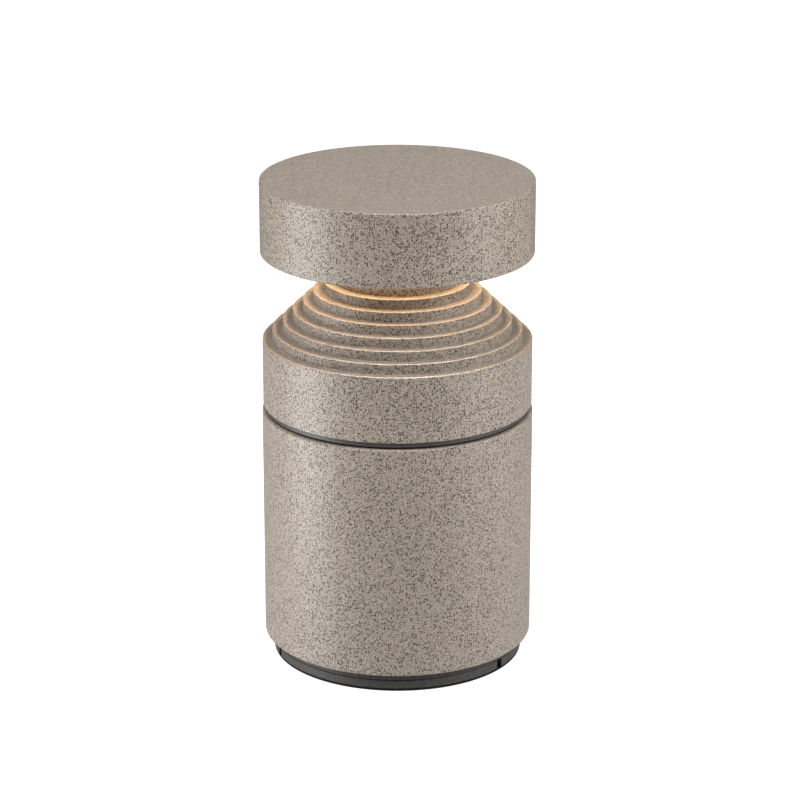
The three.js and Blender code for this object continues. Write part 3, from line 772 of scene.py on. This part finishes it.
def gland():
    pitch, depth, barrel_low, flange_low, flange_high = 1.5, 0.5, 2.0, 5.3, 10.0
    corner, _, top = extent("gland_body")
    barrel = threaded(9.8, barrel_low, 6.0, pitch, depth, MEDIUM, GLAND_BORE)
    flange = cut(hex_body(corner, flange_low, flange_high, 0.8, 1.2), cylinder(GLAND_BORE, 4, 12))
    collar = threaded(9.0, flange_high - 0.1, top, pitch, depth, MEDIUM, GLAND_BORE)
    finish(merged(barrel, flange, collar), "gland_body", BLACK)

    outer, low, high = extent("gland_seal")
    seal = turned(rounded([(GLAND_BORE, low, 0.3), (outer, low, 0.3), (outer, high - 1.6, 0.3),
                           (outer - 1.2, high, 0.4), (GLAND_BORE, high, 0.5)]), MEDIUM)
    finish(seal, "gland_seal", RUBBER)

    corner, low, high = extent("gland_nut")
    shoulder, waist, crown = 20.0, 10.4, 8.0
    dome = turned(rounded([(0, shoulder - 1, 0), (waist, shoulder - 1, 0.2), (waist, high - 2.5, 1.5),
                           (crown, high, 1.2), (0, high, 0)]), MEDIUM)
    nut = joined(hex_body(corner, low, shoulder, 1.0, 0.9), dome)
    bores = [cylinder(9.3, low - 1.3, 21.3, segments=MEDIUM), cylinder(4.8, shoulder, high + 1.5)]
    finish(cut(nut, *bores), "gland_nut", BLACK)


def hex_body(corner, low, high, low_edge, high_edge):
    """Hexagonal bar whose corners are turned down to rounded rims."""
    turning = band(0, corner - 0.1, low, high, (0, low_edge, high_edge, 0), segments=MEDIUM)
    return shared(prism(hexagon(corner * math.sqrt(3)), low, high), turning)


# ------------ pedestal
FOOT_SCREWS = 73.7, around(3, -10)       # radius of their circle, and directions
FOOT_SCREW_SEAT = 9.8
FOOT_SINK_R = 3.1
SEAM_SCREWS = 62.5, around(3, 30)
PEDESTAL_FLANGE_IN = 57.0
BOSS_R = 4.2
BOSS_TOP = 28.0


def foot_ring():
    outer, low, high = extent("foot_ring")
    inner = 70.0
    lug_in, lug_top = 64.8, 10.4
    lugs = [lug(lug_in, inner + 1, low, lug_top, d) for d in BASE_LUGS]
    ring = joined(band(inner, outer, low, high, (0.3, 0.3, 0.3, 0.3)), *lugs)
    drills = bars(*FOOT_SCREWS, M3_HOLE, 0, 20)
    drills += bars(*FOOT_SCREWS, FOOT_SINK_R, 0, FOOT_SCREW_SEAT + GAP)
    finish(cut(ring, *drills), "foot_ring", DARK)
    place_screws("foot_screw", m3_screw(14), *FOOT_SCREWS, FOOT_SCREW_SEAT)


def pedestal_shell():
    outer, low, high = extent("pedestal_shell")
    inner, flange_in, flange_low = outer - WALL, PEDESTAL_FLANGE_IN, high - 4.5
    drum = turned(rounded([
        (inner, low, 0.5), (outer, low, 1.8), (outer, high, 1.3), (flange_in, high, 0.4),
        (flange_in, flange_low, 0.4), (inner, flange_low, 2.0),
    ], 6))
    circle, directions = FOOT_SCREWS
    bosses = bars(circle, directions, BOSS_R, low, BOSS_TOP, edge=0.4)
    for direction in directions:
        web = block((-BOSS_R, -inner - 1, low), (BOSS_R, -circle, BOSS_TOP))
        bosses.append(turned_to(web, direction))
    drum = joined(drum, *bosses)
    drills = bars(*FOOT_SCREWS, M3_HOLE, 5, BOSS_TOP - 3)
    drills += bars(*SEAM_SCREWS, M4_HOLE, flange_low + 1, 160)
    drills += [cylinder(M4_HOLE, 150, high - 1.2, (x, BRACKET_SCREW_Y)) for x in BRACKET_SCREW_X]
    finish(cut(drum, *drills), "pedestal_shell", STONE)


def seam():
    finish(band(70.0, *extent("seam_gasket"), (0, 0.2, 0.2, 0), 3), "seam_gasket", RUBBER)

    outer, low, top = extent("seam_ring")
    inner = PEDESTAL_FLANGE_IN
    flange_top, collar_out, collar_in = 160.1, 72.0, 68.5
    lug_out, lug_low = collar_out + 3.6, 168.0
    body = turned(rounded([
        (inner, low, 0.3), (outer, low, 0.25), (outer, flange_top, 0.25), (collar_out, flange_top, 0.6),
        (collar_out, top, 0.4), (collar_in, top, 0.4), (collar_in, flange_top, 0.8),
        (inner, flange_top, 0.3),
    ]))
    lugs = [lug(collar_out - 1, lug_out, lug_low, top, d) for d in HEAD_LUGS]
    ends = [s for d in HEAD_LUGS
            for s in stops(collar_out - 1, lug_out, flange_top - 1, HEAD_LUG_TOP, d)]
    body = joined(body, *lugs, *ends)
    finish(cut(body, *bars(*SEAM_SCREWS, M4_HOLE, 150, 165)), "seam_ring", SEAM_DARK)
    place_screws("seam_screw", m4_screw(7.2), *SEAM_SCREWS, flange_top + GAP, up=False)

    finish(band(76.4, *extent("head_seal"), (0.3, 0.3, 0.6, 0.6)), "head_seal", RUBBER)


# ------------ inside: driver, terminals and leads
BRACKET_SCREW_X = (-65, 65)
BRACKET_SCREW_Y = 17.0
DRIVER_SCREW_Z = (54.0, 134.0)
BRACKET_FRONT = 8.0
LEAD_R = 2.2
LED_LEAD_R = 2.0


def driver_bracket():
    front, back = BRACKET_FRONT, BRACKET_FRONT + 2.0
    stem, arm, foot, arm_low, top = 25.0, 72.0, 30.0, 140.0, 150.1
    outline = [(-stem, foot, 3), (stem, foot, 3), (stem, arm_low - 4, 4), (arm, arm_low, 3),
               (arm, top, 0), (-arm, top, 0), (-arm, arm_low, 3), (-stem, arm_low - 4, 4)]
    sheet = moved(prism([(x, z) for x, z in rounded(outline)], -back, -front), quarter_turn())
    tabs = [block((x - 7, front, top - 1), (x + 7, 26, top + 1.5), 0.4) for x in BRACKET_SCREW_X]
    drills = [cylinder(M4_HOLE, 140, 160, (x, BRACKET_SCREW_Y)) for x in BRACKET_SCREW_X]
    for z in DRIVER_SCREW_Z:
        drills.append(moved(cylinder(M3_HOLE, -20, 0), shift(0, 0, z) @ quarter_turn()))
    bracket = cut(joined(sheet, *tabs), *drills)
    finish(bevelled(bracket, 0.2, 1), "driver_bracket", STEEL)
    for i, x in enumerate(BRACKET_SCREW_X):
        screw = moved(m4_screw(5.5), shift(x, BRACKET_SCREW_Y, top - 1 - GAP))
        finish(screw, f"bracket_screw_{i + 1}", STEEL)


def led_driver():
    half, back, front = 19.0, BRACKET_FRONT - GAP, -17.3
    low, high = 58.0, 130.0
    rim, ear, well = 2.2, 8.0, 1.2

    def mouth(y):
        """Outline of the open end inside the case's rim, back to y."""
        return rounded([(-half + rim, y, 1), (-half + rim, front + rim, 2), (half - rim, front + rim, 2),
                        (half - rim, y, 1)])

    section = rounded([(-half, back, 0.6), (-half, front, 3), (half, front, 3), (half, back, 0.6)], 6)
    case = bevelled(prism(section, low, high), 0.8)
    for z0, z1 in ((low - 1, low + well), (high - well, high + 1)):
        case = cut(case, prism(mouth(back - rim), z0, z1))
    ears = block((-half, back - 3, low - ear), (half, back, high + ear), 0.6)
    drills = [moved(cylinder(M3_HOLE, -30, 30), shift(0, 0, z) @ quarter_turn()) for z in DRIVER_SCREW_Z]
    body = painted(cut(joined(case, ears), *drills), WHITE)
    potting = []
    for z0, z1 in ((low + 0.9, low + 1.25), (high - 1.25, high - 0.9)):
        potting.append(painted(prism(mouth(back - rim - 1), z0, z1), BLACK))
    finish(merged(body, *potting), "led_driver")
    for i, z in enumerate(DRIVER_SCREW_Z):
        screw = moved(m3_screw(7), shift(0, back - 3 - GAP, z) @ quarter_turn(-1))
        finish(screw, f"driver_screw_{i + 1}", STEEL)


def terminal_block():
    half, back, front = 18.0, BRACKET_FRONT - GAP, -8.3
    low, high = 34.0, 46.0
    body = block((-half, front, low), (half, back, high), 0.6)
    wells, screws = [], []
    for x in (-12, 0, 12):
        place = shift(x, 0, (low + high) / 2) @ quarter_turn()
        wells.append(moved(cylinder(2.6, -front - 3, -front + 1), place))
        wells.append(cylinder(2.0, low - 1, low + 4, (x, back - 7)))
        head = cylinder(2.1, -front - 2.8, -front - 1.2, edge=0.2)
        head = cut(head, block((-3, -0.35, -front - 1.9), (3, 0.35, -front)))
        screws.append(painted(moved(head, place), BRASS))
    for x in (-6, 6):
        wells.append(block((x - 0.5, front - 1, low + 1.5), (x + 0.5, front + 1.2, high - 1.5)))
    body = painted(cut(body, *wells), WHITE)
    finish(merged(body, *screws), "terminal_block")


def pedestal_leads():
    _, low, high = extent("mains_lead")
    finish(tube([(0, -4, low), (0, -4, high)], LEAD_R), "mains_lead", SHEATH)
    path = [(0, -5, 130.3), (0, -4.6, 138), (0, -1.5, 150), (0, 0, 160), (0, 0, 167.7)]
    finish(tube(path, LEAD_R), "output_lead", SHEATH)


def connector():
    """In-line connector on the axis: ribbed socket below, tapered plug above."""
    outer, low, high = extent("lead_socket")

    def grip(r, z, angle):
        depth = 0.45 if r > 8.3 else 0
        return r - depth * (0.5 + 0.5 * math.cos(18 * angle)) ** 4

    socket = turned(rounded([
        (0, low, 0), (4, low, 0.4), (5.2, low + 3, 0), (5.6, low + 3.2, 0), (6.5, low + 6, 0.5),
        (outer, low + 7, 0.6), (outer, high - 5, 0.4), (outer - 0.7, high - 4.6, 0.2),
        (outer - 0.7, high - 3, 0.2), (outer - 0.2, high - 2.6, 0.2), (outer - 0.2, high, 0.5),
        (0, high, 0),
    ], 3), FINE, grip)
    finish(socket, "lead_socket", BLACK)

    outer, low, high = extent("lead_plug")
    plug = turned(rounded([
        (0, low, 0), (outer, low, 0.5), (outer, low + 8, 0.4), (outer - 0.6, low + 8.6, 0.2),
        (outer - 0.6, high - 9.5, 0.3), (6, high - 7, 0.5), (5.2, high - 5, 0), (5.6, high - 4.6, 0.2),
        (4.6, high - 3, 0), (4.9, high - 2.6, 0.2), (3.4, high, 0.4), (0, high, 0),
    ], 3), MEDIUM)
    finish(plug, "lead_plug", BLACK)


def led_lead():
    path = [(0, 0, 212.3), (0, 0, 245), (0, 0, 276), (0.8, 0, 284), (7, 0, 289.5), (20, 0, 290.5),
            (31, 0, 287), (34, 0, 280), (34, 0, 272.3)]
    finish(tube(path, LED_LEAD_R), "led_lead", SHEATH)


# ------------ head
NECK_BORE = 8.5
UNDERPLATE_SCREWS = 70.0, around(3, 60)
SINK_SCREWS = 52.0, around(3, 0)
SINK_PLATE_TOP = 277.0
CAP_BOSS_R = 4.5
LOW_HEAD = 2.2
LED_DIRECTIONS = around(12, 15)
LED_R = 33.0


def stepped_housing():
    outer, low, top = extent("stepped_housing")
    inner, ceiling = outer - WALL, 250.0
    slope = STEP_RUN / STEP_RISE
    wall_run = WALL * math.hypot(1, slope)
    neck = outer - STEPS * STEP_RUN
    outline = [(inner, low, 0.3), (outer, low, 0.5), (outer, RING_TOP, 0.5)]
    for i in range(STEPS):
        height = RING_TOP + i * STEP_RISE
        if i:
            outline.append((outer - i * STEP_RUN, height, 0.22))
        outline.append((outer - (i + 1) * STEP_RUN, height, 0.25))
    cone_in = outer - STEP_RUN - wall_run
    outline += [
        (neck, top, 0.3), (NECK_BORE, top, 0.3), (NECK_BORE, ceiling, 0.3),
        (cone_in - (ceiling - RING_TOP) * slope, ceiling, 1.0),
        (inner, RING_TOP + (cone_in - inner) / slope, 2.0),
    ]
    body = turned(rounded(outline, 4))
    lug_in, lug_low = 72.8, 163.2
    lugs = [lug(lug_in, inner + 1, lug_low, HEAD_LUG_TOP, d) for d in HEAD_LUGS]
    finish(joined(body, *lugs), "stepped_housing", STONE)


def cap_shell():
    outer, low, high = extent("cap_shell")
    inner, roof = outer - WALL, high - WALL
    drum = turned(rounded([
        (inner, low, 0.5), (outer, low, 0.8), (outer, high, 0.9), (0, high, 0), (0, roof, 0),
        (inner, roof, 2.0),
    ], 6))
    plate_top = extent("cap_underplate")[2]
    bosses = bars(*UNDERPLATE_SCREWS, CAP_BOSS_R, plate_top + GAP, roof + 1)
    bosses += bars(*SINK_SCREWS, CAP_BOSS_R, SINK_PLATE_TOP + GAP, roof + 1)
    drum = joined(drum, *bosses)
    drills = bars(*UNDERPLATE_SCREWS, M4_HOLE, 250, 275) + bars(*SINK_SCREWS, M4_HOLE, 270, 290)
    finish(cut(drum, *drills), "cap_shell", STONE)


def cap_underplate():
    outer, low, high = extent("cap_underplate")
    inner, sunk = 38.4, 0.4
    plate = turned(rounded([
        (inner, low, 0.4), (inner + 3, low, 0), (inner + 3.3, low + sunk, 0), (outer - 5, low + sunk, 0),
        (outer - 4.7, low, 0), (outer, low, 0.4), (outer, high, 0.4), (inner, high, 0.4),
    ], 3))
    finish(cut(plate, *bars(*UNDERPLATE_SCREWS, M4_HOLE, 250, 270)), "cap_underplate", STONE)
    place_screws("underplate_screw", m4_screw(14, LOW_HEAD), *UNDERPLATE_SCREWS, low - GAP)


def heatsink():
    finish(band(NECK_BORE, *extent("hub_spacer"), (0.4, 0.5, 0.5, 0.4)), "hub_spacer", ALUMINIUM)

    outer, low, top = extent("heatsink")
    plate = band(NECK_BORE, outer, low, SINK_PLATE_TOP, (0.4, 0.6, 0.8, 0.4))
    fin_low, fin_high = (-1, -46, SINK_PLATE_TOP - 1), (1, -24, top)
    fins = [turned_to(block(fin_low, fin_high, 0.4), d) for d in LED_DIRECTIONS]
    plate = joined(plate, *fins)
    lead_hole = cylinder(3.2, 265, 280, (34, 0))
    plate = cut(plate, *bars(*SINK_SCREWS, M4_HOLE, 265, 280), lead_hole)
    finish(plate, "heatsink", ALUMINIUM)
    place_screws("heatsink_screw", m4_screw(16, LOW_HEAD), *SINK_SCREWS, low - GAP)


def on_led(half_x, half_y, low, high, edge=0.0):
    """Block at the front LED's place, given by its half widths."""
    return block((-half_x, -LED_R - half_y, low), (half_x, -LED_R + half_y, high), edge)


def led_board():
    outer, _, high = extent("led_board")
    low, window = 270.0, 1.25
    board = band(27.0, outer, low, high, (0.15, 0.15, 0.15, 0.15), 2)
    parts = [painted(board, BOARD)]
    for direction in LED_DIRECTIONS:
        package = cut(on_led(1.6, 1.6, low - 0.8, low, 0.12), on_led(window, window, low - 1, low - 0.4))
        gel = on_led(window, window, low - 0.45, low - 0.38)
        pads = on_led(1.9, 0.9, low - 0.08, low)
        for piece, material in ((package, WHITE), (gel, PHOSPHOR), (pads, STEEL)):
            parts.append(painted(turned_to(piece, direction), material))
    finish(merged(*parts), "led_board")


def diffuser():
    outer, low, high = extent("reflector_ring")
    finish(turned(rounded([(40, low, 0.3), (outer, low, 0.2), (outer, high, 0.2), (38.5, high, 0.3)], 3)),
           "reflector_ring", WHITE)

    outer, low, high = extent("diffuser_ring")
    window_in, window_out, flange_in, flange_low = 28.2, 38.0, 26.6, 263.7
    window = turned(rounded([
        (window_in, low, 0.5), (window_out, low, 0.5), (window_out, flange_low, 0.3),
        (outer, flange_low, 0.3), (outer, high, 0.4), (flange_in, high, 0.4), (flange_in, flange_low, 0.3),
        (window_in, flange_low, 0.3),
    ], 3))
    finish(window, "diffuser_ring", WINDOW)

    gasket = band(39.0, *extent("diffuser_gasket"), (0.2, 0.2, 0.2, 0.2), 3)
    finish(gasket, "diffuser_gasket", SILICONE)


def neck():
    outer, low, high = extent("neck_tube")
    finish(threaded(outer, low, high, 1.5, 0.45, MEDIUM, 5.5), "neck_tube", BRASS, crease=60)
    face, corner, chamfer = 11.2, 12.7, 0.9
    for node in ("neck_nut_lower", "neck_nut_upper"):
        _, low, high = extent(node)
        flats = prism(hexagon(22), low, high)
        crown = turned(rounded([(0, low, 0), (face, low, 0), (corner, low + chamfer, 0),
                                (corner, high - chamfer, 0), (face, high, 0), (0, high, 0)]), MEDIUM)
        nut = cut(shared(flats, crown), cylinder(outer + GAP, low - 1, high + 1, segments=MEDIUM))
        finish(nut, node, BRASS)


for build in (base_gasket, ground_plate, gland, foot_ring, pedestal_shell, seam, driver_bracket,
              led_driver, terminal_block, pedestal_leads, connector, led_lead, stepped_housing,
              cap_shell, cap_underplate, heatsink, led_board, diffuser, neck):
    build()


# ------------ camera
CAMERA_DISTANCE = 1.859
CAMERA_ELEVATION = math.radians(18.73)
CAMERA_LENS = 136.7
AIM = Vector((0.00154, 0.0, 0.15986))

camera = linked(bpy.data.objects.new("camera", bpy.data.cameras.new("camera")))
camera.data.sensor_width = 36.0
camera.data.lens = CAMERA_LENS
back = Vector((0.0, -math.cos(CAMERA_ELEVATION), math.sin(CAMERA_ELEVATION)))
camera.location = AIM + back * CAMERA_DISTANCE
camera.rotation_mode = "QUATERNION"
camera.rotation_quaternion = back.to_track_quat("Z", "Y")
camera.data.clip_start = 0.05
camera.data.clip_end = 50.0
bpy.context.scene.camera = camera


# ------------ stage and lights
WORLD_LIGHT = 0.07
WORLD_SEEN = 1.0
FLOOR_DIFFUSE = 0.55
FLOOR_GLOW = 0.85
FLOOR_HALF = 8.0         # metres
LITTLE = 0.0002
LAMP_COLOUR = (1.0, 0.98, 0.97)
OVERHEAD_COLOUR = (0.965, 0.985, 1.03)
WASH_COLOUR = (1.0, 0.68, 0.37, 1.0)
GLINT_COLOUR = (1.0, 0.98, 0.90, 1.0)
OVERHEAD_PLACE = (0.0, 0.0, 1.7)
HIGH_FRONT_PLACE = (0.0, -0.85, 1.6)
HIGH_FRONT_AIM_HEIGHT = 0.16


def area_light(name, width, height, power):
    """Rectangular lamp in metres and watts, unseen by the camera; it shines along its -Z."""
    data = bpy.data.lights.new(name, "AREA")
    data.shape = "RECTANGLE"
    data.size, data.size_y = width, height
    data.energy = power
    data.color = LAMP_COLOUR
    lamp = linked(bpy.data.objects.new(name, data))
    lamp.rotation_mode = "QUATERNION"
    lamp.visible_camera = False
    return lamp


def panel(name, azimuth, distance, width, low, high, power, lean=0.0):
    """Upright softbox facing the axis from a direction, turned by lean in its own plane."""
    out = at(1.0, azimuth)
    lamp = area_light(name, width, high - low, power)
    lamp.location = out * distance + Vector((0, 0, (low + high) / 2))
    roll = Quaternion((0.0, 0.0, 1.0), math.radians(lean))
    lamp.rotation_quaternion = out.to_track_quat("Z", "Y") @ roll
    return lamp


panel("key_left", azimuth=-78, distance=1.5, width=1.12, low=-0.52, high=0.02, power=7.9, lean=-12)
high_left = panel("high_left", azimuth=-72, distance=2.5, width=1.87, low=1.20, high=2.20, power=73.0)
high_left.visible_glossy = False
panel("fill_right", azimuth=72, distance=1.5, width=0.9, low=-0.20, high=0.48, power=2.85, lean=4)
high_right = panel("high_right", azimuth=68, distance=1.5, width=0.9, low=0.70, high=1.30, power=26.0)
high_right.visible_glossy = False

overhead = area_light("overhead", width=1.0, height=1.0, power=9.85)
overhead.location = OVERHEAD_PLACE
overhead.data.color = OVERHEAD_COLOUR

high_front = area_light("high_front", width=1.0, height=0.6, power=0.8)
high_front.location = HIGH_FRONT_PLACE
aim = Vector(HIGH_FRONT_PLACE) - Vector((0, 0, HIGH_FRONT_AIM_HEIGHT))
high_front.rotation_quaternion = aim.to_track_quat("Z", "Y")

bounce = area_light("floor_bounce", width=1.5, height=1.5, power=2.6)
bounce.rotation_quaternion = Vector((0, 0, -1)).to_track_quat("Z", "Y")
bounce.location = (0.0, 0.0, -0.002)


def led_light(name, width, power, falloff, colour):
    """Light of the LED ring, even over the steps; the middle of the disc is inside the neck."""
    lamp = area_light(name, width, width, power)
    lamp.data.shape = "DISK"
    lamp.location = (0.0, 0.0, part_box("diffuser_ring")[0].z - LITTLE)
    lamp.data.use_nodes = True
    tree = lamp.data.node_tree
    even = add_node(tree, "ShaderNodeLightFalloff", {"Strength": 1.0}).outputs[falloff]
    tree.nodes["Emission"].inputs["Color"].default_value = colour
    tree.links.new(even, tree.nodes["Emission"].inputs["Strength"])
    return lamp


wash = led_light("led_wash", width=0.100, power=5.5, falloff="Linear", colour=WASH_COLOUR)
wash.visible_glossy = False
glint = led_light("led_glint", width=0.080, power=440.0, falloff="Constant", colour=GLINT_COLOUR)
glint.visible_diffuse = False


def build_stage():
    """Floor that glows white to the camera from above and is clear from below."""
    h = FLOOR_HALF
    mesh = bpy.data.meshes.new("floor")
    mesh.from_pydata([(-h, -h, 0), (h, -h, 0), (h, h, 0), (-h, h, 0)], [], [(0, 1, 2, 3)])
    floor = linked(bpy.data.objects.new("floor", mesh))
    floor.location.z = cad_low.z - LITTLE
    floor.visible_diffuse = False
    floor.visible_glossy = False
    floor.visible_transmission = False
    floor.visible_shadow = False
    material = bpy.data.materials.new("floor")
    material.use_nodes = True
    tree = material.node_tree
    tree.nodes.clear()
    diffuse = add_node(tree, "ShaderNodeBsdfDiffuse", {"Color": grey(FLOOR_DIFFUSE)})
    shine = add_node(tree, "ShaderNodeEmission", {"Color": grey(1.0), "Strength": FLOOR_GLOW})
    both = add_node(tree, "ShaderNodeAddShader", {0: diffuse.outputs[0], 1: shine.outputs[0]})
    seen = add_node(tree, "ShaderNodeLightPath").outputs["Is Camera Ray"]
    upper = add_node(tree, "ShaderNodeMixShader", {0: seen, 1: diffuse.outputs[0], 2: both.outputs[0]})
    below = add_node(tree, "ShaderNodeNewGeometry").outputs["Backfacing"]
    clear = add_node(tree, "ShaderNodeBsdfTransparent")
    surface = add_node(tree, "ShaderNodeMixShader", {0: below, 1: upper.outputs[0], 2: clear.outputs[0]})
    out = add_node(tree, "ShaderNodeOutputMaterial")
    tree.links.new(surface.outputs[0], out.inputs["Surface"])
    mesh.materials.append(material)


def build_world():
    """White to the camera, dim to everything else."""
    world = bpy.data.worlds.new("studio")
    world.use_nodes = True
    tree = world.node_tree
    tree.nodes.clear()
    light = add_node(tree, "ShaderNodeBackground", {"Color": grey(1.0), "Strength": WORLD_LIGHT})
    shown = add_node(tree, "ShaderNodeBackground", {"Color": grey(1.0), "Strength": WORLD_SEEN})
    seen = add_node(tree, "ShaderNodeLightPath").outputs["Is Camera Ray"]
    both = add_node(tree, "ShaderNodeMixShader", {0: seen, 1: light.outputs[0], 2: shown.outputs[0]})
    out = add_node(tree, "ShaderNodeOutputWorld")
    tree.links.new(both.outputs[0], out.inputs["Surface"])
    bpy.context.scene.world = world


build_stage()
build_world()
bpy.context.scene.view_settings.view_transform = "Standard"
